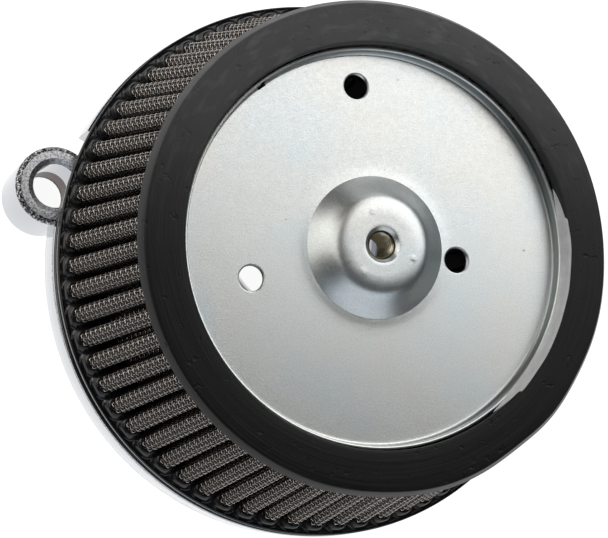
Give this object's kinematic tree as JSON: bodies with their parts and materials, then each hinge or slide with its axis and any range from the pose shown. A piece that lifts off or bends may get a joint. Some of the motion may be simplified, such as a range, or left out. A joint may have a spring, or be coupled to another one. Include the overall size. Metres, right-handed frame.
{
  "type": "motorcycle air filter",
  "caption": "Round tapered pleated air filter with a rubber ring and steel end plate on a chrome backplate with breather bolt bosses.",
  "frame": {"origin": "centre of the bounding box on the plane of the backplate's rear boss faces", "axes": "+Z along the filter axis from the engine side outwards; +X along the line of the two breather bosses; +Y at right angles to both"},
  "size_m": [0.176, 0.1656, 0.0845],
  "materials": {
    "chrome": "polished chrome",
    "seal_rubber": "matt black",
    "potting": "glossy black polyurethane",
    "steel_mesh": "woven wire, warm grey",
    "gauze": "dark cotton gauze",
    "ring_rubber": "satin black polyurethane rubber",
    "zinc_plate": "satin zinc plating",
    "nut_zinc": "zinc plating, slightly yellow",
    "sealant": "cured translucent sealant"
  },
  "bodies": {
    "root": {"backplate": "chrome", "throttle_seal": "seal_rubber", "left_breather_seal": "seal_rubber", "right_breather_seal": "seal_rubber", "rear_end_cap": "potting", "outer_screen": "steel_mesh", "filter_media": "gauze", "inner_screen": "steel_mesh", "front_end_cap": "ring_rubber", "end_plate": "zinc_plate", "weld_nut": "nut_zinc", "sealant_bead": "sealant"}
  },
  "joints": []
}
